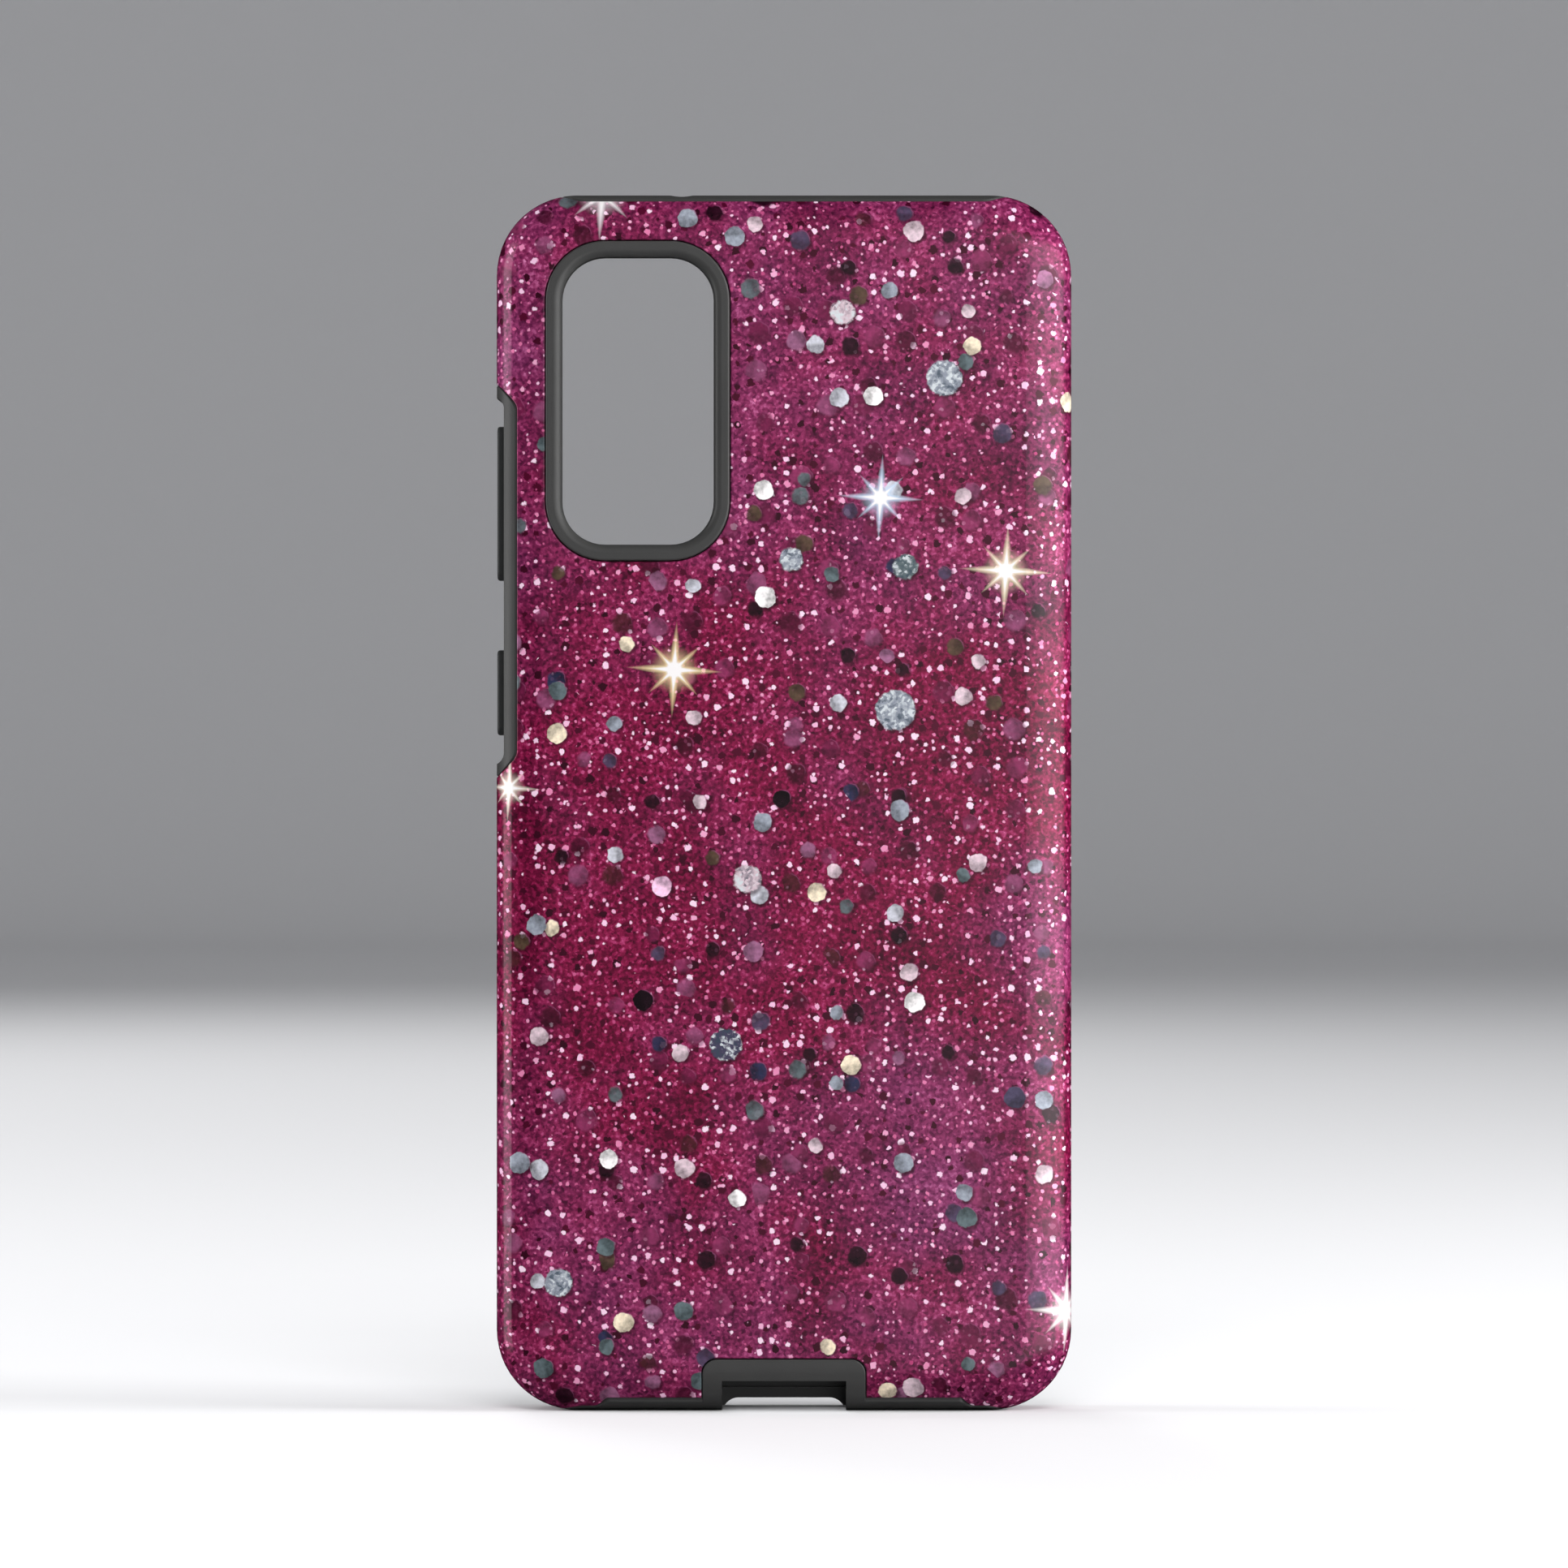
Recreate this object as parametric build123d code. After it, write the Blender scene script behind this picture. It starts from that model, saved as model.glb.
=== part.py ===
"""Two-layer phone case: a rigid outer shell snapped over a soft inner liner, with two sprung key covers.

The case is drawn lying on its screen side: x to the right as seen from behind, y along the length from the
bottom edge, z from the mid-plane towards the printed back. At the end it is stood on its bottom edge, so
that in the finished frame X is the width, Z the length and -Y the back. All sizes are in millimetres.
"""

import math
import os

from build123d import *

# The phone that the case is made for.
phone_width = 69.1
phone_length = 151.7
phone_thickness = 7.9
phone_slack = 0.1

# Layers, each a uniform offset of the outer skin.
wall = 2.5
shell_wall = 1.25
layer_gap = 0.12
liner_inset = shell_wall + layer_gap

# Outline and depth.
width = phone_width + phone_slack + 2 * wall
length = phone_length + phone_slack + 2 * wall
corner_radius = 10.4
collar_proud = 0.4
lip_height = 1.4
rim_height = 1.65
depth = collar_proud + wall + phone_thickness + phone_slack + lip_height
collar_z = depth / 2
back_z = collar_z - collar_proud
floor_z = back_z - wall
front_z = -depth / 2
screen_z = front_z + lip_height
rim_z = front_z + rim_height
middle_z = (floor_z + screen_z) / 2

# The back edge is a shoulder of a broad and a tight arc; the side then leans in a little at the front.
shoulder_reach = 6.0
shoulder_drop = 4.6
shoulder_split = 30.0
lean_start_z = -2.4
lean_radius = 14.0
lip_round = 0.9
lip_overlap = 0.9
lip_mouth_round = 0.5
shell_edge_round = 0.2
liner_edge_round = 0.15

# Camera collar and window.
camera_x = -18.8
camera_y = 130.05
collar_width = 23.6
collar_length = 41.05
collar_radius = 7.6
collar_wall = 2.05
collar_inner_round = 1.05
collar_outer_round = 0.25

# Notches in the shell. A reach is how far in from the outermost line the edge of the notch lies.
end_notch_half = 28.8
end_notch_round = 3.0
top_reach = 0.75
bottom_reach = 0.55
step_reach = 1.42
step_foot_half = 24.2
step_head_half = 22.95
step_round = 1.0
key_notch = (81.7, 132.3)
key_notch_reach = 2.1
key_notch_round = 3.4
key_fill_sink = 0.3
port_notch_half = 10.6
port_notch_top = 6.95
port_notch_round = 1.85

# Charging port and sound holes.
port_half = 8.0
port_top = 4.05
port_bar_z = -4.1
port_scoop = 1.1
port_scoop_round = 2.1
speaker_x = -17.9
speaker_length = 9.4
speaker_width = 2.4
bottom_mic_x = 14.1
bottom_scoop_width = 2.4
bottom_scoop_depth = 0.2
top_mic_x = -13.2
top_scoop_width = 3.1
top_scoop_depth = 0.27
mic_radius = 0.85

# Keys: where each cover starts and ends along the side, and how it is built up inwards from the skin.
key_recess = (83.25, 130.75)
key_recess_reach = 1.0
key_recess_round = 1.6
volume_key = (107.1, 127.0)
side_key = (87.1, 98.1)
key_width = 3.5
key_corner = 1.2
key_edge_round = 0.35
key_face_reach = 0.05
web_margin = 1.0
web_reach = 1.2
web_thickness = 0.5
nub_reach = 2.05
nub_width = 1.5
nub_corner = 0.74
nub_length_share = 0.6

# How far cutting solids reach: well past the case, or just past the face that they cut.
FAR = 40.0
OVER = 1.0
TOUCHING = 0.001

half_width = width / 2
axis_x = half_width - corner_radius
straight_length = length - 2 * corner_radius
side_start_z = back_z - shoulder_drop


def shoulder_radii():
    """Radii of the broad and the tight arc that together make the stated reach and drop."""
    split = math.radians(shoulder_split)
    share = (1 - math.cos(split)) / math.sin(split)
    rise = math.cos(split) - share * (1 - math.sin(split))
    tight = (shoulder_drop - shoulder_reach * share) / rise
    broad = (shoulder_reach - tight * (1 - math.sin(split))) / math.sin(split)
    return broad, tight


broad_radius, tight_radius = shoulder_radii()


def height_at(reach):
    """Height of the skin on the shoulder, that far in from the outermost line."""
    cosine = 1 - reach / tight_radius
    if cosine >= math.sin(math.radians(shoulder_split)):
        return side_start_z + tight_radius * math.sqrt(1 - cosine**2)
    across = shoulder_reach - reach
    return back_z - broad_radius + math.sqrt(broad_radius**2 - across**2)


def shoulder(inset):
    """The back edge of a layer that lies inset inside the skin, from the corner axis out to the side."""
    broad_centre = (corner_radius - shoulder_reach, back_z - broad_radius)
    tight_centre = (corner_radius - tight_radius, side_start_z)
    broad = CenterArc(broad_centre, broad_radius - inset, 90, -shoulder_split)
    tight = CenterArc(tight_centre, tight_radius - inset, 90 - shoulder_split, shoulder_split - 90)
    return Line((0, back_z - inset), broad @ 0) + broad + tight


def straight_section(inset, bottom):
    """A layer with upright sides: it draws off towards the back without catching."""
    side = corner_radius - inset
    rest = Polyline((side, side_start_z), (side, bottom), (0, bottom), (0, back_z - inset))
    return make_face(shoulder(inset) + rest)


def closed_section():
    """The outside of the whole case, with the lean of the side and the rounded front lip."""
    lean_drop = lean_start_z - front_z
    lean_angle = math.degrees(math.asin(lean_drop / lean_radius))
    side = Line((corner_radius, side_start_z), (corner_radius, lean_start_z))
    lean = CenterArc((corner_radius - lean_radius, lean_start_z), lean_radius, 0, -lean_angle)
    rest = Polyline(lean @ 1, (0, front_z), (0, back_z))
    face = make_face(shoulder(0) + side + lean + rest)
    front_corner = face.vertices().sort_by(Axis.Y)[:2].sort_by(Axis.X)[-1]
    return fillet(front_corner, lip_round)


def around(section):
    """Carry a section drawn outwards from a corner axis round the whole outline, and fill the middle."""
    upright = Plane.XZ * section
    box = upright.bounding_box()
    corner = revolve(upright, Axis.Z, 90)
    side = extrude(upright, straight_length)
    end = extrude(upright, 2 * axis_x)
    near_y = corner_radius
    far_y = length - corner_radius
    pieces = [
        Pos(axis_x, far_y, 0) * corner,
        Pos(-axis_x, far_y, 0) * Rot(0, 0, 90) * corner,
        Pos(-axis_x, near_y, 0) * Rot(0, 0, 180) * corner,
        Pos(axis_x, near_y, 0) * Rot(0, 0, 270) * corner,
        Pos(axis_x, far_y, 0) * side,
        Pos(-axis_x, far_y, 0) * Rot(0, 0, 90) * end,
        Pos(-axis_x, near_y, 0) * Rot(0, 0, 180) * side,
        Pos(axis_x, near_y, 0) * Rot(0, 0, 270) * end,
    ]
    middle_height = (box.min.Z + box.max.Z) / 2
    middle = Pos(0, length / 2, middle_height) * Box(2 * axis_x, straight_length, box.size.Z)
    return middle.fuse(*pieces).clean()


def along_x(face, start, end):
    """A face drawn in (y, z), made solid between two places across the width."""
    return Pos(start, 0, 0) * extrude(Plane.YZ * face, end - start)


def along_y(face, start, end):
    """A face drawn in (x, z), made solid between two places along the length."""
    return Pos(0, end, 0) * extrude(Plane.XZ * face, end - start)


def along_z(face, start, end):
    """A face drawn in (x, y), made solid between two heights."""
    return Pos(0, 0, start) * extrude(face, end - start)


def slab(bottom, top):
    """Everything between two heights."""
    return Pos(0, length / 2, (bottom + top) / 2) * Box(4 * width, 2 * length, top - bottom)


def lies_on(edge, shapes):
    """Whether an edge runs along one or other of these faces or edges."""
    spots = [Vertex(*(edge @ share)) for share in (0.25, 0.5, 0.75)]
    return all(min(shape.distance_to(spot) for shape in shapes) < TOUCHING for spot in spots)


def cut_edges(solid, skin):
    """The edges that cutting has made on the skin of the closed case."""
    on_skin = [edge for edge in solid.edges() if lies_on(edge, skin.faces())]
    return [edge for edge in on_skin if not lies_on(edge, skin.edges())]


def top_notch(gap=0.0):
    """The opening in the shell along the top edge, drawn from the end; gap makes it smaller all round."""
    half = end_notch_half - gap
    head = height_at(top_reach) - gap
    outline = FilletPolyline(
        (-half, -FAR), (-half, head), (half, head), (half, -FAR), radius=end_notch_round
    )
    face = make_face(outline + Line((half, -FAR), (-half, -FAR)))
    return along_y(face, length / 2, length + FAR)


def bottom_notch(gap=0.0):
    """The opening along the bottom edge, with a step up in its middle."""
    half = end_notch_half - gap
    foot = height_at(bottom_reach) - gap
    head = height_at(step_reach) - gap
    outline = FilletPolyline(
        (-half, -FAR),
        (-half, foot),
        (-step_foot_half + gap, foot),
        (-step_head_half + gap, head),
        (step_head_half - gap, head),
        (step_foot_half - gap, foot),
        (half, foot),
        (half, -FAR),
        radius=(end_notch_round, step_round, step_round, step_round, step_round, end_notch_round),
    )
    return along_y(make_face(outline + Line((half, -FAR), (-half, -FAR))), -FAR, length / 4)


def side_notch(gap=0.0):
    """The opening in the shell beside the keys."""
    start = key_notch[0] + gap
    end = key_notch[1] - gap
    head = height_at(key_notch_reach) - gap
    outline = FilletPolyline(
        (start, -FAR), (start, head), (end, head), (end, -FAR), radius=key_notch_round
    )
    face = make_face(outline + Line((end, -FAR), (start, -FAR)))
    return along_x(face, -half_width - FAR, -half_width / 2)


def port_notch(gap=0.0):
    """The opening in the shell round the charging port, cut through the back."""
    half = port_notch_half - gap
    top = port_notch_top - gap
    outline = FilletPolyline(
        (-half, -FAR), (-half, top), (half, top), (half, -FAR), radius=port_notch_round
    )
    return along_z(make_face(outline + Line((half, -FAR), (-half, -FAR))), -FAR, FAR)


def collar_block(gap, top):
    """The upstanding rim round the camera window, filled in; gap makes it larger all round."""
    outline = RectangleRounded(collar_width + 2 * gap, collar_length + 2 * gap, collar_radius + gap)
    return Pos(camera_x, camera_y, 0) * along_z(outline, 0, top)


def scoop(centre_x, skin_y, chord, sag, outward):
    """A shallow hollow across the edge, a slice of a cylinder lying through the depth."""
    radius = (chord**2 / 4 + sag**2) / (2 * sag)
    return Pos(centre_x, skin_y + outward * (radius - sag), 0) * Cylinder(radius, FAR)


def key_outline(span, grow=0.0):
    """Outline of a key in (y, z), grown all round when asked."""
    outline = RectangleRounded(span[1] - span[0] + 2 * grow, key_width + 2 * grow, key_corner + grow)
    return Pos((span[0] + span[1]) / 2, middle_z) * outline


def inward(face, start_reach, end_reach):
    """A face drawn in (y, z) on the key side, made solid between two reaches in from the skin."""
    return along_x(face, -half_width + start_reach, -half_width + end_reach)


def key_cover(span):
    """A key: the raised button, its root inside the web, and the nub that meets the phone's own key."""
    button = inward(key_outline(span), key_face_reach, web_reach + web_thickness)
    button = fillet(button.faces().sort_by(Axis.X)[0].edges(), key_edge_round)
    nub_length = nub_length_share * (span[1] - span[0])
    nub_outline = RectangleRounded(nub_length, nub_width, nub_corner)
    nub_face = Pos((span[0] + span[1]) / 2, middle_z) * nub_outline
    return button + inward(nub_face, web_reach + web_thickness, nub_reach)


def key_web(span):
    """The thin wall that carries a key, all round it."""
    outline = key_outline(span, web_margin) - key_outline(span)
    return inward(outline, web_reach, web_reach + web_thickness)


def collar_ring():
    """The rim round the camera window, rounded broadly inwards and slightly at its outer edge."""
    ring = collar_block(0, collar_z) - collar_block(-collar_wall, FAR)
    top = ring.faces().sort_by(Axis.Z)[-1]
    ring = fillet(top.inner_wires()[0].edges(), collar_inner_round)
    top = ring.faces().filter_by(Axis.Z).sort_by(Axis.Z)[-1]
    return fillet(top.outer_wire().edges(), collar_outer_round)


def pocket():
    """The space for the phone, with the mouth that the lip leaves open in front of its screen."""
    mouth_inset = wall + lip_overlap
    mouth = RectangleRounded(
        width - 2 * mouth_inset, length - 2 * mouth_inset, corner_radius - mouth_inset
    )
    opening = along_z(mouth, front_z - OVER, screen_z + OVER)
    return around(straight_section(wall, screen_z)) + Pos(0, length / 2, 0) * opening


def recess_beside_keys():
    """The side band is set back between the two ends of the key area, through the whole depth."""
    start, end = key_recess
    floor = -half_width + key_recess_reach
    outline = FilletPolyline(
        (-FAR, start), (floor, start), (floor, end), (-FAR, end), radius=key_recess_round
    )
    return along_z(make_face(outline + Line((-FAR, end), (-FAR, start))), -FAR, FAR)


def port_opening():
    """The way to the charging port: out through the back, and a scoop under the lip in front of it."""
    window = Pos(0, (port_top - FAR) / 2) * Rectangle(2 * port_half, port_top + FAR)
    outline = FilletPolyline(
        (-port_half, -FAR),
        (-port_half, port_scoop),
        (port_half, port_scoop),
        (port_half, -FAR),
        radius=port_scoop_round,
    )
    under_lip = make_face(outline + Line((port_half, -FAR), (-port_half, -FAR)))
    return along_z(window, port_bar_z, FAR) + along_z(under_lip, -FAR, FAR)


def sound_hole(centre_x, start, end):
    """A round hole through an end wall."""
    return along_y(Pos(centre_x, middle_z) * Circle(mic_radius), start, end)


def outer_shell(closed_case):
    """The rigid shell: everything outside the liner, cut away at the camera, the keys and both ends."""
    shell = closed_case - slab(front_z - FAR, rim_z) - collar_block(layer_gap, FAR)
    shell = shell - top_notch() - bottom_notch() - side_notch() - port_notch()
    shell = fillet(cut_edges(shell, closed_case), shell_edge_round)
    return shell - around(straight_section(shell_wall, front_z - OVER))


def inner_liner(closed_case):
    """The soft liner: an inner tray that fills the shell's notches flush and closes in front of its rim."""
    liner = around(straight_section(liner_inset, front_z)) & closed_case
    liner += closed_case & slab(front_z - OVER, rim_z - layer_gap)
    liner += closed_case & top_notch(layer_gap)
    liner += closed_case & bottom_notch(layer_gap)
    liner += closed_case & port_notch(layer_gap)
    sunk_case = closed_case & Pos(0, 0, -key_fill_sink) * closed_case
    liner += sunk_case & side_notch(layer_gap)
    liner = fillet(cut_edges(liner, closed_case), liner_edge_round)
    liner -= pocket()
    mouth_edge = liner.faces().sort_by(Axis.Z)[0].inner_wires()[0].edges()
    liner = fillet(mouth_edge, lip_mouth_round)

    liner -= collar_block(-collar_wall / 2, FAR)
    liner += collar_ring() & slab(floor_z, FAR)
    liner -= recess_beside_keys()
    liner -= port_opening()
    liner -= Pos(speaker_x, 0, 0) * along_y(
        Pos(0, middle_z) * SlotOverall(speaker_length, speaker_width), -OVER, corner_radius
    )
    liner -= sound_hole(bottom_mic_x, -OVER, corner_radius)
    liner -= sound_hole(top_mic_x, length - corner_radius, length + OVER)
    liner -= scoop(bottom_mic_x, 0, bottom_scoop_width, bottom_scoop_depth, -1)
    liner -= scoop(top_mic_x, length, top_scoop_width, top_scoop_depth, 1)
    for span in (volume_key, side_key):
        liner -= inward(key_outline(span, web_margin), -OVER, corner_radius)
    return liner


def stand_up(solid):
    """Turn the case onto its bottom edge, with the printed back towards -Y."""
    return Rot(90, 0, 0) * solid


closed_case = around(closed_section())
nodes = {
    "outer_shell": outer_shell(closed_case),
    "inner_liner": inner_liner(closed_case),
    "volume_key_cover": key_cover(volume_key),
    "volume_key_web": key_web(volume_key),
    "side_key_cover": key_cover(side_key),
    "side_key_web": key_web(side_key),
}

os.makedirs("parts", exist_ok=True)
for name, solid in nodes.items():
    export_step(stand_up(solid), f"parts/{name}.step")
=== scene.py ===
import math

import bpy
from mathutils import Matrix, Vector


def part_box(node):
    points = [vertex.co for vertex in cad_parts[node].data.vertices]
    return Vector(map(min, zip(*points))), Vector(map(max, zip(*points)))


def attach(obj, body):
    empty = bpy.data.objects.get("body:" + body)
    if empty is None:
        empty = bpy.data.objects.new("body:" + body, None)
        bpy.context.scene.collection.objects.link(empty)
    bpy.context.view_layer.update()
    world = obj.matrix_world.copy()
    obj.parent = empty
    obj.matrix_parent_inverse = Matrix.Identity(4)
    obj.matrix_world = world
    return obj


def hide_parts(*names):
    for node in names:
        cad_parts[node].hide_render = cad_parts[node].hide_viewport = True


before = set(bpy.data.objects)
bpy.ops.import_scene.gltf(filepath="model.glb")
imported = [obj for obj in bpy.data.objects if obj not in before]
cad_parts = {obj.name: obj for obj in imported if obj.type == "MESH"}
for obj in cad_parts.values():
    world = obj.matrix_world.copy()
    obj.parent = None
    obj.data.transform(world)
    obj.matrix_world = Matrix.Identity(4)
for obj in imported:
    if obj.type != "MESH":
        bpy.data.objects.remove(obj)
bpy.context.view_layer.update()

# The case stands on its bottom edge: +Z is its length, -Y its printed back, +Y the screen side, and the
# camera window and the keys are towards -X. Everything is in metres, apart from the print, laid out in mm.
MM = 0.001

shell_low, shell_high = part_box("outer_shell")
_, liner_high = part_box("inner_liner")
HALF_WIDTH = shell_high.x
LENGTH = liner_high.z
BACK_Y = shell_low.y

# The rounding of the outline, the shoulder of a broad and a tight arc that leads from the flat back to the
# side, and the lean of the side. The print covers what lies less deep than PRINT_DEPTH in the skin.
CORNER_RADIUS = 10.4 * MM
SHOULDER_REACH = 6.0 * MM
SHOULDER_DROP = 4.6 * MM
BROAD_RADIUS = 7.912 * MM
TIGHT_RADIUS = 4.088 * MM
SHOULDER_SPLIT = math.radians(30)
LEAN_START = 8.15 * MM
LEAN_RADIUS = 14.0 * MM
PRINT_DEPTH = 0.14 * MM


# ---------------------------------------------------------------- shader nodes

class Nodes:
    """Short names for the shader nodes that the materials are made of."""

    def __init__(self, tree):
        self.tree = tree

    def add(self, kind, **settings):
        """A new node of this kind, with these settings."""
        node = self.tree.nodes.new(kind)
        for name, value in settings.items():
            setattr(node, name, value)
        return node

    def feed(self, socket, value):
        """Link a socket to another one, or set it to a plain value."""
        if isinstance(value, bpy.types.NodeSocket):
            self.tree.links.new(value, socket)
        elif value is not None:
            socket.default_value = value

    def math(self, operation, a, b=None, clamp=False):
        """The result of an operation on one number or two, kept from 0 to 1 where it is clamped."""
        node = self.add("ShaderNodeMath", operation=operation, use_clamp=clamp)
        self.feed(node.inputs[0], a)
        self.feed(node.inputs[1], b)
        return node.outputs[0]

    def vector(self, operation, a, b=None, scale=None):
        """The result of an operation on vectors: a vector, or a number for a length or a product."""
        node = self.add("ShaderNodeVectorMath", operation=operation)
        self.feed(node.inputs[0], a)
        self.feed(node.inputs[1], b)
        if scale is not None:
            node.inputs["Scale"].default_value = scale
        single = operation in ("LENGTH", "DOT_PRODUCT", "DISTANCE")
        return node.outputs["Value" if single else "Vector"]

    def smooth(self, value, start, end):
        """0 before start, 1 after end, and a soft step between."""
        node = self.add("ShaderNodeMapRange", interpolation_type="SMOOTHSTEP")
        for socket, number in zip(node.inputs[:5], (value, start, end, 0.0, 1.0)):
            self.feed(socket, number)
        return node.outputs[0]

    def mix(self, share, a, b):
        """Colour a, with this share of colour b mixed in."""
        node = self.add("ShaderNodeMix", data_type="RGBA")
        self.feed(node.inputs["Factor"], share)
        self.feed(node.inputs["A"], a)
        self.feed(node.inputs["B"], b)
        return node.outputs["Result"]

    def either(self, second, a, b):
        """Vector b where second is 1, and vector a where it is 0."""
        node = self.add("ShaderNodeMix", data_type="VECTOR")
        self.feed(node.inputs["Factor"], second)
        self.feed(node.inputs["A"], a)
        self.feed(node.inputs["B"], b)
        return node.outputs["Result"]

    def ramp(self, value, stops, interpolation="LINEAR"):
        """The colour for a value, from stops that each have a place and a colour."""
        node = self.add("ShaderNodeValToRGB")
        node.color_ramp.interpolation = interpolation
        elements = node.color_ramp.elements
        while len(elements) < len(stops):
            elements.new(1.0)
        for element, (place, colour) in zip(elements, stops):
            element.position = place
            element.color = colour
        self.feed(node.inputs[0], value)
        return node.outputs["Color"]

    def channels(self, colour):
        """The red, green and blue of a colour, as numbers."""
        node = self.add("ShaderNodeSeparateColor")
        self.feed(node.inputs[0], colour)
        return node.outputs

    def cells(self, place, size, shift=0.0):
        """A scatter of points, about one in each square of this size: their random numbers, and the way
        from the nearest one to here."""
        moved = self.vector("ADD", place, (shift, 1.7 * shift, 0.0))
        node = self.add("ShaderNodeTexVoronoi", voronoi_dimensions="2D")
        self.feed(node.inputs["Vector"], moved)
        self.feed(node.inputs["Scale"], 1.0 / size)
        away = self.vector("SUBTRACT", moved, node.outputs["Position"])
        return self.channels(node.outputs["Color"]), away

    def noise(self, place, size, detail=2.0, dimensions="2D"):
        """A soft noise from 0 to 1, with lumps of this size."""
        node = self.add("ShaderNodeTexNoise", noise_dimensions=dimensions)
        self.feed(node.inputs["Vector"], place)
        self.feed(node.inputs["Scale"], 1.0 / size)
        self.feed(node.inputs["Detail"], detail)
        return node.outputs["Fac"]

    def uneven(self, place, size, amount, detail=2.0):
        """A noise about zero, of this amount from its lowest to its highest."""
        return self.math("MULTIPLY", self.math("SUBTRACT", self.noise(place, size, detail), 0.5), amount)

    def bump(self, height, strength, distance):
        """The direction of a surface that this height roughens, by up to the distance given."""
        node = self.add("ShaderNodeBump")
        self.feed(node.inputs["Height"], height)
        self.feed(node.inputs["Strength"], strength)
        self.feed(node.inputs["Distance"], distance)
        return node.outputs["Normal"]


def screen_colour(red, green, blue):
    """A colour given as it looks on a screen, from 0 to 255, as the shader wants it."""
    shares = (channel / 255 for channel in (red, green, blue))
    return (*(s / 12.92 if s <= 0.04045 else ((s + 0.055) / 1.055) ** 2.4 for s in shares), 1.0)


def new_material(name):
    """A material, its nodes and the inputs of its shader."""
    material = bpy.data.materials.new(name)
    material.use_nodes = True
    return material, Nodes(material.node_tree), material.node_tree.nodes["Principled BSDF"].inputs


# ---------------------------------------------------------------- the glitter print

# Purple zones of the print: centre across and up, radius, all in mm, and how strong.
PURPLE_ZONES = (
    (16, 33, 26, 0.9),
    (-27, 26, 24, 0.5),
    (-30, 132, 30, 0.6),
    (6, 140, 34, 0.55),
    (34, 62, 16, 0.5),
)

# The ground of the print: the size of its flakes, of their blur, and of its light and purple patches, and
# the height where it is reddest, with the distances from there where it starts to turn purple and stops. All
# in mm.
FLAKE_SIZE = 0.34
FLAKE_BLUR = 0.7
CLOUD_SIZE = 9.0
PATCH_SIZE = 14.0
REDDEST_HEIGHT = 66.0
TURN_START = 18.0
TURN_END = 52.0

DARK_CRIMSON = screen_colour(62, 2, 30)
CRIMSON = screen_colour(102, 6, 48)
BRIGHT_CRIMSON = screen_colour(142, 22, 72)
MAGENTA = screen_colour(182, 62, 116)
PINK = screen_colour(226, 124, 170)
DARK_PLUM = screen_colour(70, 16, 52)
PLUM = screen_colour(114, 38, 84)
BRIGHT_PLUM = screen_colour(146, 58, 108)
ORCHID = screen_colour(180, 94, 144)
LILAC = screen_colour(226, 150, 200)
PALE_PINK = screen_colour(248, 200, 230)
WHITE = screen_colour(250, 246, 246)
CREAM = screen_colour(238, 222, 196)
PEARL = screen_colour(214, 190, 200)
SILVER = screen_colour(196, 196, 206)
STEEL = screen_colour(148, 154, 166)
TEAL_GREY = screen_colour(92, 106, 110)
SLATE = screen_colour(72, 64, 90)
MAUVE = screen_colour(150, 96, 130)
OLIVE = screen_colour(82, 68, 50)
INK_BLUE = screen_colour(30, 46, 76)
NIGHT = screen_colour(26, 6, 18)
SHADOW = screen_colour(48, 3, 24)
DISC_SHADE = screen_colour(54, 70, 84)
DISC_LIGHT = screen_colour(212, 218, 222)

# Round pieces of glitter: centre across and up, radius, all in mm, and the tint of their grains.
GLITTER_DISCS = (
    (20.6, 133.0, 2.3, STEEL),
    (14.3, 90.3, 2.6, STEEL),
    (-7.5, 47.3, 2.1, SLATE),
    (7.5, 141.4, 1.6, PEARL),
    (0.9, 109.7, 1.5, STEEL),
    (15.6, 108.7, 1.6, TEAL_GREY),
    (-4.7, 68.6, 1.8, PEARL),
    (-29.0, 16.7, 1.8, STEEL),
)

# The sequins that catch the eye most: centre across and up, radius, all in mm, and colour.
BRIGHT_SEQUINS = (
    (11.5, 130.6, 1.25, WHITE),
    (-2.6, 118.6, 1.25, WHITE),
    (-2.4, 104.8, 1.35, WHITE),
    (-29.2, 87.3, 1.25, CREAM),
    (16.8, 52.8, 1.3, WHITE),
    (16.6, 3.1, 1.35, PEARL),
    (-20.6, 11.6, 1.3, CREAM),
    (-22.5, 32.6, 1.2, WHITE),
    (-6.0, 27.5, 1.1, WHITE),
    (-15.7, 67.6, 1.3, PALE_PINK),
    (24.9, 70.7, 1.2, PEARL),
    (8.6, 44.7, 1.25, CREAM),
    (24.2, 137.1, 1.15, CREAM),
    (37.2, 130.0, 1.3, CREAM),
    (16.7, 151.9, 1.35, PEARL),
    (-6.3, 151.2, 1.3, STEEL),
    (-12.4, 153.6, 1.3, STEEL),
    (-31.8, 62.7, 1.3, STEEL),
    (-34.1, 32.1, 1.4, STEEL),
    (23.5, 25.1, 1.3, TEAL_GREY),
    (29.7, 40.5, 1.4, SLATE),
    (-18.1, 53.0, 1.3, NIGHT),
    (-0.3, 78.9, 1.1, NIGHT),
)

# Star glints: centre across and up, length of ray, all in mm, and tint.
GLINTS = (
    (12.4, 117.6, 5.8, (0.62, 0.80, 1.0, 1)),
    (28.5, 108.2, 6.2, (1.0, 0.90, 0.62, 1)),
    (-14.1, 95.5, 6.4, (1.0, 0.82, 0.44, 1)),
    (-35.6, 80.3, 4.6, (1.0, 0.93, 0.78, 1)),
    (36.8, 13.0, 6.2, (1.0, 0.96, 0.93, 1)),
    (-23.4, 157.2, 7.0, (1.0, 0.94, 0.97, 1)),
)
GLINT_TILT = math.radians(3)

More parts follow.
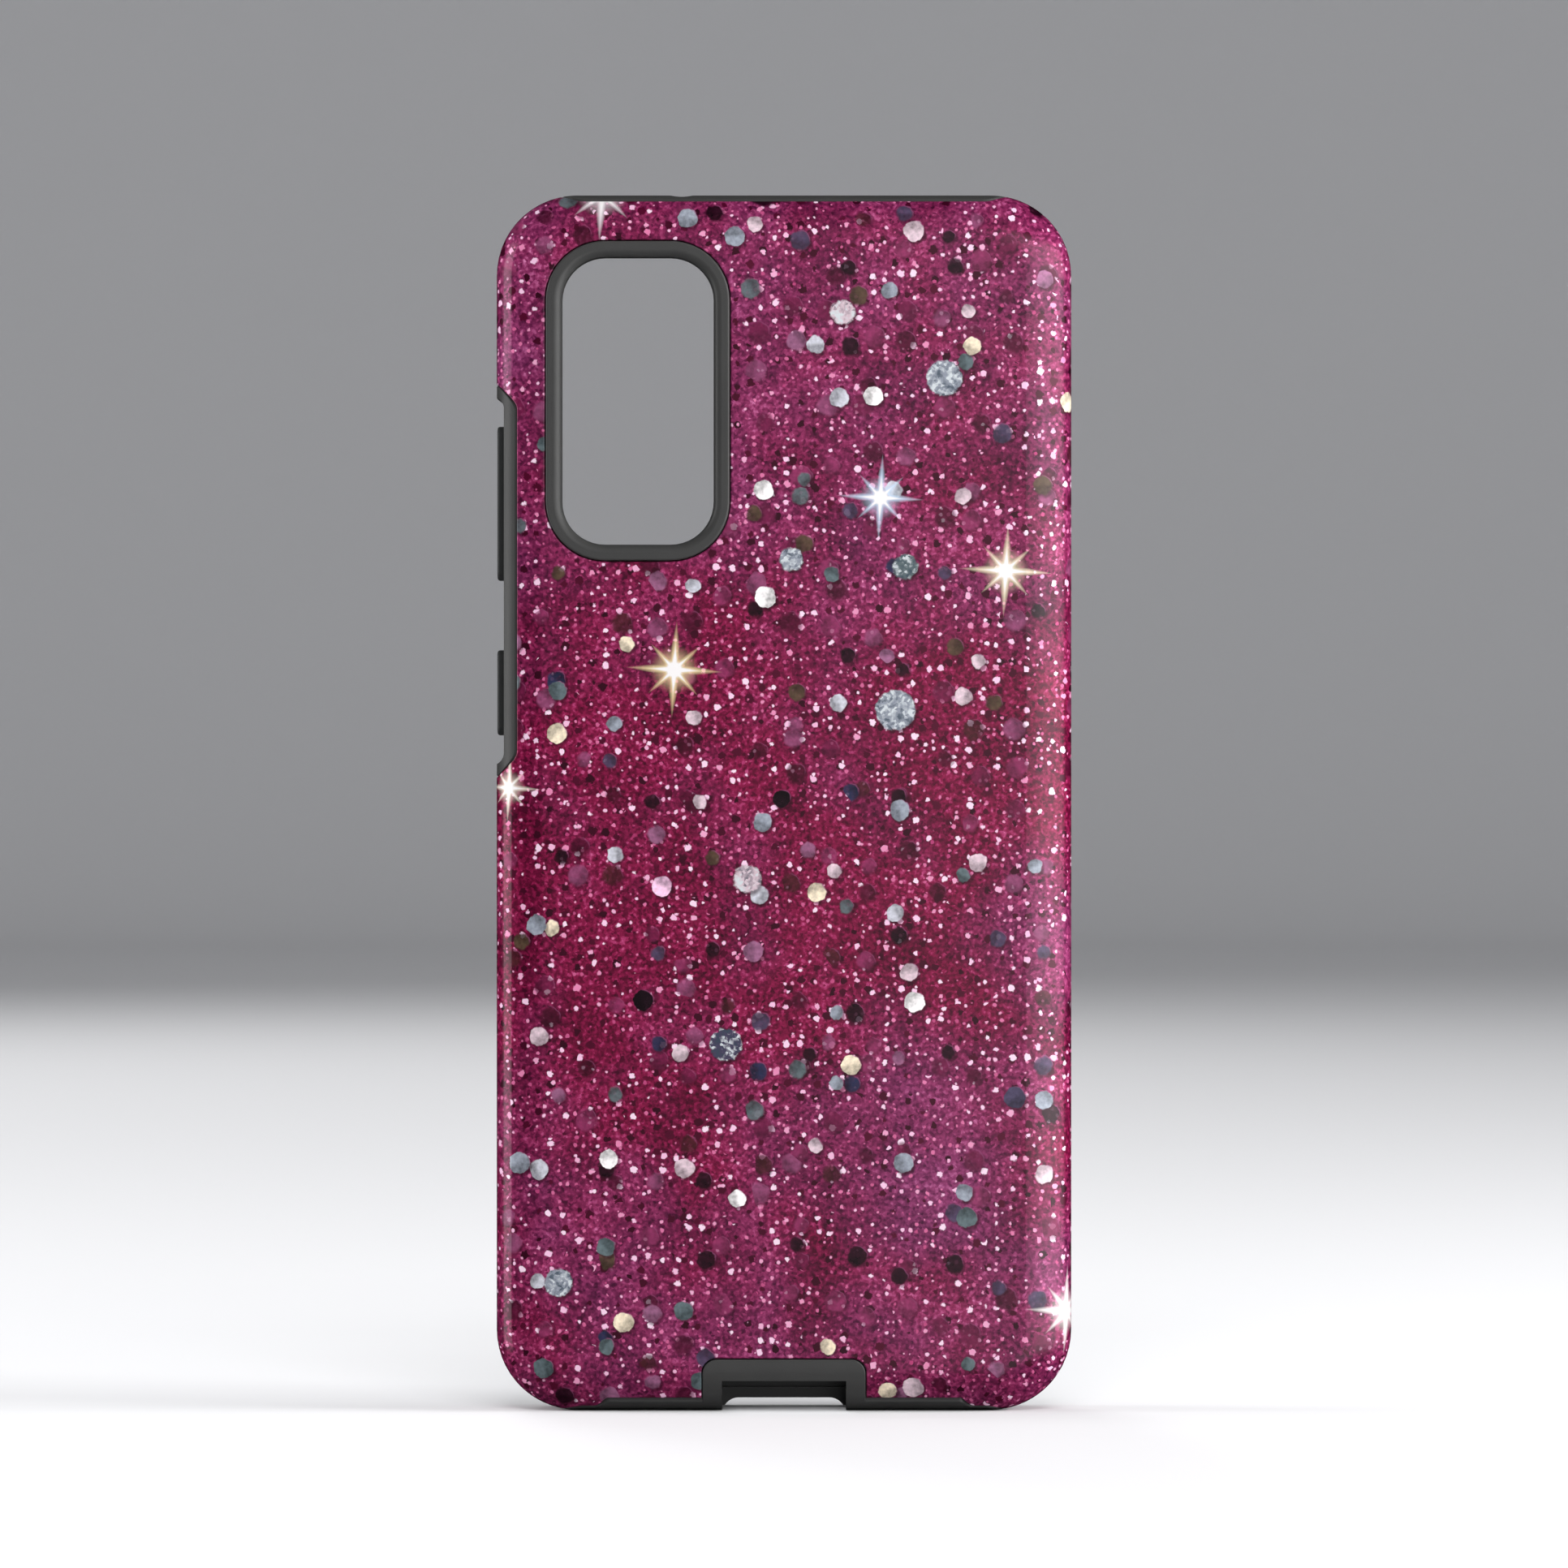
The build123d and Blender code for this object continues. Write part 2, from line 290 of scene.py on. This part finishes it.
# Specks: the size of the teeth along their edges, and of the clusters that they lie in, in mm.
SPECK_RAGGEDNESS = 0.45
CLUSTER_SIZE = 7.0

# Sequins, in mm: how far the rim wanders and over what length; the shift and the strength of the shadow; and
# the width, the strength and the side of the light along the rim. Then the turn of the darker half, in
# radians for each mm that the centre lies across and up, and how much darker it is.
RIM_WANDER = 0.55
RIM_WAVE = 1.1
SHADOW_SHIFT = (-0.22, 0.26, 0.0)
SHADOW_STRENGTH = 0.65
RIM_WIDTH = 0.14
RIM_STRENGTH = 0.4
TOWARDS_RIM_LIGHT = (0.72, 0.69, 0.0)
FACET_TURN = (1.3, 2.1, 0.0)
FACET_CONTRAST = 0.5


def glitter_ground(nodes, place):
    """Fine flakes, from crimson in the middle of the case to a greyer purple towards its ends."""
    flake, _ = nodes.cells(place, FLAKE_SIZE)
    blur = nodes.math("MULTIPLY", nodes.noise(place, FLAKE_BLUR), 0.85)
    shade = nodes.math("ADD", nodes.math("MULTIPLY", flake[0], 0.40), blur)
    cloud = nodes.uneven(place, CLOUD_SIZE, 0.55, detail=3.0)
    shade = nodes.math("ADD", nodes.math("SUBTRACT", shade, 0.25), cloud)
    crimson = nodes.ramp(
        shade, ((0.0, DARK_CRIMSON), (0.3, CRIMSON), (0.56, BRIGHT_CRIMSON), (0.78, MAGENTA), (1.0, PINK))
    )
    purple = nodes.ramp(
        shade, ((0.0, DARK_PLUM), (0.3, PLUM), (0.56, BRIGHT_PLUM), (0.78, ORCHID), (1.0, LILAC))
    )
    up = nodes.add("ShaderNodeSeparateXYZ")
    nodes.feed(up.inputs[0], place)
    from_reddest = nodes.math("ABSOLUTE", nodes.math("SUBTRACT", up.outputs[1], REDDEST_HEIGHT))
    purpleness = nodes.math("MULTIPLY", nodes.smooth(from_reddest, TURN_START, TURN_END), 0.5)
    for across, height, radius, strength in PURPLE_ZONES:
        away = nodes.vector("DISTANCE", place, (across, height, 0.0))
        near = nodes.math("MULTIPLY", nodes.smooth(away, radius, 0.2 * radius), strength)
        purpleness = nodes.math("MAXIMUM", purpleness, near)
    patches = nodes.uneven(place, PATCH_SIZE, 1.3)
    return nodes.mix(nodes.math("ADD", purpleness, patches, clamp=True), crimson, purple)


def specks(nodes, ground, place, size, largest, share, shift, stops):
    """Small bright or dark flakes of several sizes, strewn over the ground in loose clusters.

    About one falls in each square of the given size, and a share of them is kept.
    """
    number, away = nodes.cells(place, size, shift)
    ragged = nodes.uneven(place, SPECK_RAGGEDNESS, 1.1 * largest)
    distance = nodes.math("ADD", nodes.vector("LENGTH", away), ragged)
    radius = nodes.math("MULTIPLY", nodes.math("ADD", number[1], 0.5), largest / 1.5)
    shape = nodes.smooth(nodes.math("SUBTRACT", distance, radius), 0.06, -0.08)
    elsewhere = nodes.vector("ADD", place, (7.0 * shift, 0.0, 0.0))
    crowd = nodes.math("MULTIPLY", nodes.noise(elsewhere, CLUSTER_SIZE), 2.0 * share)
    chosen = nodes.math("LESS_THAN", number[0], crowd)
    return nodes.mix(nodes.math("MULTIPLY", shape, chosen), ground, nodes.ramp(number[2], stops))


def nearest_spot(nodes, place, spots):
    """The centre, the size and the colour of whichever of these spots is nearest."""
    found = None
    for across, up, size, tint in spots:
        distance = nodes.vector("DISTANCE", place, (across, up, 0.0))
        if found is None:
            found = distance, (across, up, size), tint
            continue
        nearest, spot, colour = found
        closer = nodes.math("LESS_THAN", distance, nearest)
        spot = nodes.either(closer, spot, (across, up, size))
        found = nodes.math("MINIMUM", distance, nearest), spot, nodes.mix(closer, colour, tint)
    _, spot, colour = found
    parts = nodes.add("ShaderNodeSeparateXYZ")
    nodes.feed(parts.inputs[0], spot)
    return nodes.vector("MULTIPLY", spot, (1.0, 1.0, 0.0)), parts.outputs[2], colour


def sequins(nodes, ground, place, centre, radius, colour, softness=0.06, presence=1.0):
    """A round sequin about each centre, half of it darker, with a shadow below it and a light rim above."""
    away = nodes.vector("SUBTRACT", place, centre)
    wander = nodes.uneven(place, RIM_WAVE, RIM_WANDER)
    past_rim = nodes.math("SUBTRACT", nodes.math("ADD", nodes.vector("LENGTH", away), wander), radius)
    from_shadow = nodes.vector("LENGTH", nodes.vector("ADD", away, SHADOW_SHIFT))
    past_shadow = nodes.math("SUBTRACT", nodes.math("ADD", from_shadow, wander), radius)
    darkness = nodes.math("MULTIPLY", presence, SHADOW_STRENGTH)
    shadow = nodes.math("MULTIPLY", nodes.smooth(past_shadow, 0.28, -0.10), darkness)
    ground = nodes.mix(shadow, ground, SHADOW)
    turned = nodes.add("ShaderNodeVectorRotate", rotation_type="Z_AXIS")
    nodes.feed(turned.inputs["Vector"], away)
    nodes.feed(turned.inputs["Angle"], nodes.vector("DOT_PRODUCT", centre, FACET_TURN))
    sideways = nodes.vector("DOT_PRODUCT", turned.outputs[0], (1.0, 0.0, 0.0))
    slant = nodes.math("DIVIDE", sideways, radius)
    facet = nodes.math("MULTIPLY", nodes.smooth(slant, -0.45, 0.35), FACET_CONTRAST)
    mottle = nodes.uneven(place, 0.6, 0.9)
    light = nodes.math("ADD", nodes.math("ADD", facet, mottle), 1.12 - FACET_CONTRAST)
    shaded = nodes.vector("MULTIPLY", colour, nodes.vector("ADD", (0.0, 0.0, 0.0), light))
    inside = nodes.smooth(past_rim, softness, -softness)
    ground = nodes.mix(nodes.math("MULTIPLY", inside, presence), ground, shaded)
    near_rim = nodes.smooth(nodes.math("ABSOLUTE", past_rim), RIM_WIDTH, 0.0)
    upper_right = nodes.math("DIVIDE", nodes.vector("DOT_PRODUCT", away, TOWARDS_RIM_LIGHT), radius)
    rim = nodes.math("MULTIPLY", near_rim, nodes.smooth(upper_right, 0.45, 1.0))
    brightness = nodes.math("MULTIPLY", presence, RIM_STRENGTH)
    return nodes.mix(nodes.math("MULTIPLY", rim, brightness), ground, ORCHID)


def strewn_sequins(nodes, ground, place, size, radius, share, shift, softness, strength, stops):
    """Sequins strewn at random, each in one of the colours given.

    About one falls in each square of the given size, and a share of them is kept.
    """
    number, away = nodes.cells(place, size, shift)
    centre = nodes.vector("SUBTRACT", place, away)
    reach = nodes.math("MULTIPLY", nodes.math("ADD", nodes.math("MULTIPLY", number[1], 0.4), 0.75), radius)
    presence = nodes.math("MULTIPLY", nodes.math("LESS_THAN", number[0], share), strength)
    colour = nodes.ramp(number[2], stops, "CONSTANT")
    return sequins(nodes, ground, place, centre, reach, colour, softness, presence)


def placed_sequins(nodes, ground, place):
    """The sequins that have a place of their own."""
    return sequins(nodes, ground, place, *nearest_spot(nodes, place, BRIGHT_SEQUINS))


def glitter_discs(nodes, ground, place):
    """Larger round pieces made of fine grains, darker along their lower edges."""
    centre, radius, tint = nearest_spot(nodes, place, GLITTER_DISCS)
    lower = nodes.vector("DISTANCE", place, nodes.vector("ADD", centre, (0.25, -0.35, 0.0)))
    shadow = nodes.smooth(nodes.math("SUBTRACT", lower, radius), 0.3, -0.3)
    ground = nodes.mix(nodes.math("MULTIPLY", shadow, 0.7), ground, SHADOW)
    away = nodes.math("ADD", nodes.vector("DISTANCE", place, centre), nodes.uneven(place, 0.8, 0.7))
    grain, _ = nodes.cells(place, 0.36, shift=31.0)
    patch = nodes.math("MULTIPLY", nodes.noise(place, 1.3), 0.9)
    blotch = nodes.math("ADD", nodes.math("MULTIPLY", grain[0], 0.4), patch)
    dark = nodes.mix(nodes.math("MULTIPLY", nodes.smooth(blotch, 0.68, 0.3), 0.8), tint, DISC_SHADE)
    grains = nodes.mix(nodes.smooth(blotch, 0.62, 0.92), dark, DISC_LIGHT)
    return nodes.mix(nodes.smooth(nodes.math("SUBTRACT", away, radius), 0.12, -0.2), ground, grains)


def ray(nodes, along, beside, length, width):
    """A ray of light that tapers to nothing at its length."""
    left = nodes.math("SUBTRACT", 1.0, nodes.math("DIVIDE", along, length))
    inside = nodes.math("SUBTRACT", left, nodes.math("DIVIDE", beside, width))
    return nodes.math("MULTIPLY", inside, 1.5, clamp=True)


def glints(nodes, ground, place):
    """Eight-pointed stars of light: four long rays, four short ones and a bright middle."""
    centre, reach, tint = nearest_spot(nodes, place, GLINTS)
    turned = nodes.add("ShaderNodeVectorRotate", rotation_type="Z_AXIS")
    nodes.feed(turned.inputs["Vector"], nodes.vector("SUBTRACT", place, centre))
    nodes.feed(turned.inputs["Angle"], GLINT_TILT)
    folded = nodes.add("ShaderNodeSeparateXYZ")
    nodes.feed(folded.inputs[0], nodes.vector("ABSOLUTE", turned.outputs[0]))
    along = nodes.math("DIVIDE", nodes.math("MAXIMUM", folded.outputs[0], folded.outputs[1]), reach)
    beside = nodes.math("DIVIDE", nodes.math("MINIMUM", folded.outputs[0], folded.outputs[1]), reach)
    slant_along = nodes.math("MULTIPLY", nodes.math("ADD", along, beside), math.sqrt(0.5))
    slant_beside = nodes.math("MULTIPLY", nodes.math("SUBTRACT", along, beside), math.sqrt(0.5))
    long_rays = ray(nodes, along, beside, length=1.0, width=0.16)
    short_rays = ray(nodes, slant_along, slant_beside, length=0.72, width=0.15)
    away = nodes.math("DIVIDE", nodes.vector("DISTANCE", place, centre), reach)
    core = nodes.math("MULTIPLY", nodes.math("SUBTRACT", 0.30, away), 6.0, clamp=True)
    halo = nodes.math("MULTIPLY", nodes.smooth(away, 0.52, 0.0), 0.7)
    rays = nodes.math("MAXIMUM", long_rays, short_rays)
    light = nodes.math("MAXIMUM", rays, nodes.math("MAXIMUM", core, halo))
    return nodes.mix(light, ground, nodes.mix(nodes.smooth(light, 0.6, 1.0), tint, WHITE))


def print_material():
    """A glossy clear coat over a print of fine glitter, specks, sequins and a few star glints.

    The coat sits over a partly metallic base, which gives back a tinted sheen of its own.
    """
    material, nodes, shader = new_material("glitter_print")
    place = nodes.add("ShaderNodeAttribute", attribute_name="print_mm").outputs["Vector"]
    colour = glitter_ground(nodes, place)

    dark = ((0.0, SHADOW), (1.0, screen_colour(82, 4, 40)))
    pink = ((0.0, MAGENTA), (0.6, PINK), (1.0, PALE_PINK))
    bright = ((0.0, PINK), (0.5, PALE_PINK), (1.0, screen_colour(250, 222, 240)))
    colour = specks(nodes, colour, place, size=1.7, largest=0.60, share=0.30, shift=3.0, stops=dark)
    colour = specks(nodes, colour, place, size=1.0, largest=0.28, share=0.34, shift=5.0, stops=pink)
    colour = specks(nodes, colour, place, size=1.8, largest=0.46, share=0.33, shift=7.0, stops=bright)

    faded = (
        (0.0, screen_colour(146, 52, 98)),
        (0.26, screen_colour(112, 26, 68)),
        (0.46, screen_colour(74, 6, 38)),
        (0.62, screen_colour(150, 78, 118)),
        (0.8, screen_colour(62, 8, 30)),
        (0.92, screen_colour(66, 30, 30)),
    )
    dull = ((0.0, NIGHT), (0.3, SLATE), (0.48, MAUVE), (0.64, TEAL_GREY), (0.8, OLIVE), (0.93, INK_BLUE))
    vivid = ((0.0, PEARL), (0.2, STEEL), (0.42, TEAL_GREY), (0.6, CREAM), (0.7, MAUVE), (0.86, SILVER))
    colour = strewn_sequins(
        nodes, colour, place,
        size=4.6, radius=1.2, share=0.34, shift=13.0, softness=0.26, strength=0.66, stops=faded,
    )
    colour = strewn_sequins(
        nodes, colour, place,
        size=6.2, radius=1.1, share=0.30, shift=17.0, softness=0.18, strength=0.85, stops=dull,
    )
    colour = strewn_sequins(
        nodes, colour, place,
        size=9.0, radius=1.15, share=0.36, shift=23.0, softness=0.08, strength=1.0, stops=vivid,
    )
    colour = placed_sequins(nodes, colour, place)
    colour = glitter_discs(nodes, colour, place)
    colour = glints(nodes, colour, place)

    nodes.feed(shader["Base Color"], colour)
    nodes.feed(shader["Normal"], nodes.bump(nodes.noise(place, 2.5), 0.05, 0.05 * MM))
    shader["Metallic"].default_value = 0.4
    shader["Roughness"].default_value = 0.45
    shader["Specular IOR Level"].default_value = 0.15
    shader["Coat Weight"].default_value = 1.0
    shader["Coat Roughness"].default_value = 0.2
    shader["Coat IOR"].default_value = 1.5
    return material


# ---------------------------------------------------------------- the plain plastics

def place_in_piece(nodes):
    """Where a point lies in its own piece, in mm."""
    return nodes.vector("SCALE", nodes.add("ShaderNodeTexCoord").outputs["Object"], scale=1 / MM)


def shell_plastic_material():
    """The shell's hard dark plastic on its cut edges and inside, made darker still as painted shade."""
    material, nodes, shader = new_material("shell_plastic")
    where = place_in_piece(nodes)
    flow = nodes.noise(where, 6.0, dimensions="3D")
    # These two colours are darker than the plastic alone: painted shade for the gaps along the cut edges.
    nodes.feed(shader["Base Color"], nodes.mix(flow, screen_colour(27, 27, 29), screen_colour(38, 37, 40)))
    nodes.feed(shader["Roughness"], nodes.math("ADD", nodes.math("MULTIPLY", flow, 0.12), 0.22))
    nodes.feed(shader["Normal"], nodes.bump(nodes.noise(where, 1.2, dimensions="3D"), 0.05, 0.05 * MM))
    return material


def soft_material(name, dark, light):
    """Soft moulded plastic: matt, with a fine eroded grain and a slight cloudiness."""
    material, nodes, shader = new_material(name)
    where = place_in_piece(nodes)
    cloud = nodes.noise(where, 7.0, detail=3.0, dimensions="3D")
    grain = nodes.noise(where, 0.16, detail=1.0, dimensions="3D")
    tone = nodes.math("ADD", nodes.math("MULTIPLY", cloud, 0.6), nodes.math("MULTIPLY", grain, 0.4))
    nodes.feed(shader["Base Color"], nodes.mix(tone, dark, light))
    nodes.feed(shader["Roughness"], nodes.math("ADD", nodes.math("MULTIPLY", grain, 0.14), 0.30))
    nodes.feed(shader["Normal"], nodes.bump(grain, 0.35, 0.03 * MM))
    shader["Specular IOR Level"].default_value = 0.5
    return material


# ---------------------------------------------------------------- the shell

def outward(point):
    """How a point lies beside the middle of the case.

    The nearest place on the middle plate, the direction from there, the distance, and how far the point is in
    front of the back face.
    """
    axis_x = HALF_WIDTH - CORNER_RADIUS
    middle_x = min(max(point.x, -axis_x), axis_x)
    middle_z = min(max(point.z, CORNER_RADIUS), LENGTH - CORNER_RADIUS)
    away = Vector((point.x - middle_x, point.z - middle_z))
    return Vector((middle_x, middle_z)), away.normalized(), away.length, point.y - BACK_Y


def depth_in_skin(point):
    """How far a point lies inside the outer skin of the closed case."""
    _, _, reach, drop = outward(point)
    shoulder_start = CORNER_RADIUS - SHOULDER_REACH
    if reach <= shoulder_start:
        return drop
    if drop >= SHOULDER_DROP:
        past = max(0.0, drop - LEAN_START)
        return CORNER_RADIUS - reach - (LEAN_RADIUS - math.sqrt(LEAN_RADIUS**2 - past**2))
    broad = Vector((reach - shoulder_start, BROAD_RADIUS - drop))
    if math.atan2(broad.x, broad.y) < SHOULDER_SPLIT:
        return BROAD_RADIUS - broad.length
    tight = Vector((reach - CORNER_RADIUS + TIGHT_RADIUS, SHOULDER_DROP - drop))
    return TIGHT_RADIUS - tight.length


def place_in_print(point):
    """Where a point of the skin falls in the print, in mm, with the sides folded out flat."""
    middle, direction, reach, drop = outward(point)
    shoulder_start = CORNER_RADIUS - SHOULDER_REACH
    if reach > shoulder_start:
        on_shoulder = math.hypot(reach - shoulder_start, min(drop, SHOULDER_DROP))
        reach = shoulder_start + on_shoulder + max(0.0, drop - SHOULDER_DROP)
    flat = (middle + direction * reach) / MM
    return (flat.x, flat.y, 0.0)


def printed_shell(print_finish, plastic_finish):
    """The shell, with the print on its skin and bare plastic on its cut edges and inside."""
    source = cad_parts["outer_shell"]
    mesh = source.data.copy()
    mesh.name = "shell_printed"
    shell = bpy.data.objects.new("shell_printed", mesh)
    bpy.context.scene.collection.objects.link(shell)
    mesh.materials.clear()
    mesh.materials.append(print_finish)
    mesh.materials.append(plastic_finish)
    layout = mesh.attributes.new("print_mm", "FLOAT_VECTOR", "POINT")
    for vertex, entry in zip(mesh.vertices, layout.data):
        entry.vector = place_in_print(vertex.co)
    for face in mesh.polygons:
        face.material_index = 0 if depth_in_skin(face.center) < PRINT_DEPTH else 1
    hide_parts("outer_shell")
    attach(shell, "shell")


def dress(node, material):
    """Give a CAD node a better material."""
    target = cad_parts[node]
    for slot in target.material_slots:
        slot.material = material


# ---------------------------------------------------------------- camera, floor and light

# How wide a stretch the picture takes in at the case, the height of its middle, and how far off the camera
# is. The sensor's width is in mm.
VIEW_WIDTH = 202.8 * MM
VIEW_HEIGHT = 80.8 * MM
CAMERA_DISTANCE = 0.9
SENSOR = 36.0


def make_camera():
    """Straight on to the back of the case, level with its middle."""
    data = bpy.data.cameras.new("camera")
    data.sensor_width = SENSOR
    data.lens = SENSOR * CAMERA_DISTANCE / VIEW_WIDTH
    data.clip_start = 0.01
    camera = bpy.data.objects.new("camera", data)
    camera.location = (0.0, -CAMERA_DISTANCE, VIEW_HEIGHT)
    camera.rotation_euler = (math.radians(90), 0.0, 0.0)
    bpy.context.scene.collection.objects.link(camera)
    bpy.context.scene.camera = camera


# The floor is level out to its radius, then bends up in a quarter circle and goes on as a wall.
FLOOR_RADIUS = 2.6
WALL_BEND = 1.2
WALL_HEIGHT = 2.4
BEND_STEPS = 14


def make_floor():
    """A pale floor that curves up into a wall, far off on every side."""
    material, _, shader = new_material("floor")
    shader["Base Color"].default_value = (0.66, 0.66, 0.67, 1.0)
    shader["Roughness"].default_value = 0.85
    turns = 96
    profile = [(0.25, 0.0), (0.8, 0.0), (1.6, 0.0), (FLOOR_RADIUS, 0.0)]
    for step in range(1, BEND_STEPS + 1):
        angle = math.radians(90) * step / BEND_STEPS
        out = FLOOR_RADIUS + WALL_BEND * math.sin(angle)
        profile.append((out, WALL_BEND - WALL_BEND * math.cos(angle)))
    profile.append((FLOOR_RADIUS + WALL_BEND, WALL_HEIGHT))
    points = [(0.0, 0.0, 0.0)]
    for reach, up in profile:
        for turn in range(turns):
            angle = 2 * math.pi * turn / turns
            points.append((reach * math.cos(angle), reach * math.sin(angle), up))
    faces = [(0, 1 + turn, 1 + (turn + 1) % turns) for turn in range(turns)]
    for ring in range(len(profile) - 1):
        start = 1 + ring * turns
        for turn in range(turns):
            after = (turn + 1) % turns
            faces.append((start + turn, start + turns + turn, start + turns + after, start + after))
    mesh = bpy.data.meshes.new("floor")
    mesh.from_pydata(points, [], faces)
    mesh.shade_smooth()
    mesh.materials.append(material)
    floor = bpy.data.objects.new("floor", mesh)
    floor.visible_glossy = False
    bpy.context.scene.collection.objects.link(floor)


def soft_box(name, place, size, power, mirrored=True):
    """A rectangular lamp aimed at the case; one that isn't mirrored leaves no highlight."""
    data = bpy.data.lights.new(name, "AREA")
    data.shape = "RECTANGLE"
    data.size, data.size_y = size
    data.energy = power
    lamp = bpy.data.objects.new(name, data)
    lamp.location = place
    lamp.rotation_euler = (Vector((0.0, 0.0, LENGTH / 2)) - Vector(place)).to_track_quat("-Z", "Y").to_euler()
    lamp.visible_glossy = mirrored
    bpy.context.scene.collection.objects.link(lamp)


# The bank of light on the right: upright strips side by side in an arc, brightest in the middle.
BANK_STRIPS = 9
BANK_START = math.radians(8)
BANK_STEP = math.radians(11)
BANK_DISTANCE = 0.98
BANK_POWER = 1.15
LAMP_HEIGHT = 0.16


def make_light():
    """A wide bank of light on the right, one lamp on the left, and soft fill.

    Mirror-like surfaces see only the bank and the left lamp, not the pale floor and surround.
    """
    for strip in range(BANK_STRIPS):
        angle = BANK_START + BANK_STEP * strip
        place = (BANK_DISTANCE * math.sin(angle), -BANK_DISTANCE * math.cos(angle), LAMP_HEIGHT)
        power = BANK_POWER * math.sin(math.pi * (strip + 1) / (BANK_STRIPS + 1))
        soft_box(f"right_bank_{strip}", place, (0.2, 0.9), power)
    soft_box("left_side", (-0.92, -0.10, LAMP_HEIGHT), (0.50, 0.9), 2.4)
    soft_box("key", (0.10, -1.05, 1.10), (0.8, 0.5), 10.8, mirrored=False)
    soft_box("right_fill", (0.98, -0.14, 0.30), (0.4, 0.4), 17.0, mirrored=False)
    soft_box("left_fill", (-0.98, 0.05, 0.30), (0.4, 0.4), 9.0, mirrored=False)
    soft_box("screen_side", (-0.5, 1.2, 0.9), (0.7, 0.7), 8.0, mirrored=False)
    world = bpy.data.worlds.new("surround")
    bpy.context.scene.world = world
    world.use_nodes = True
    world.cycles_visibility.glossy = False
    ground = world.node_tree.nodes["Background"].inputs
    ground["Color"].default_value = (0.96, 0.97, 1.0, 1.0)
    ground["Strength"].default_value = 0.43


make_camera()
make_floor()
make_light()

printed_shell(print_material(), shell_plastic_material())
liner_finish = soft_material("liner_soft_plastic", screen_colour(46, 46, 46), screen_colour(58, 58, 57))
key_finish = soft_material("key_soft_plastic", screen_colour(40, 41, 41), screen_colour(50, 51, 51))
for node in ("inner_liner", "volume_key_web", "side_key_web"):
    dress(node, liner_finish)
for node in ("volume_key_cover", "side_key_cover"):
    dress(node, key_finish)

bpy.context.scene.view_settings.view_transform = "Standard"
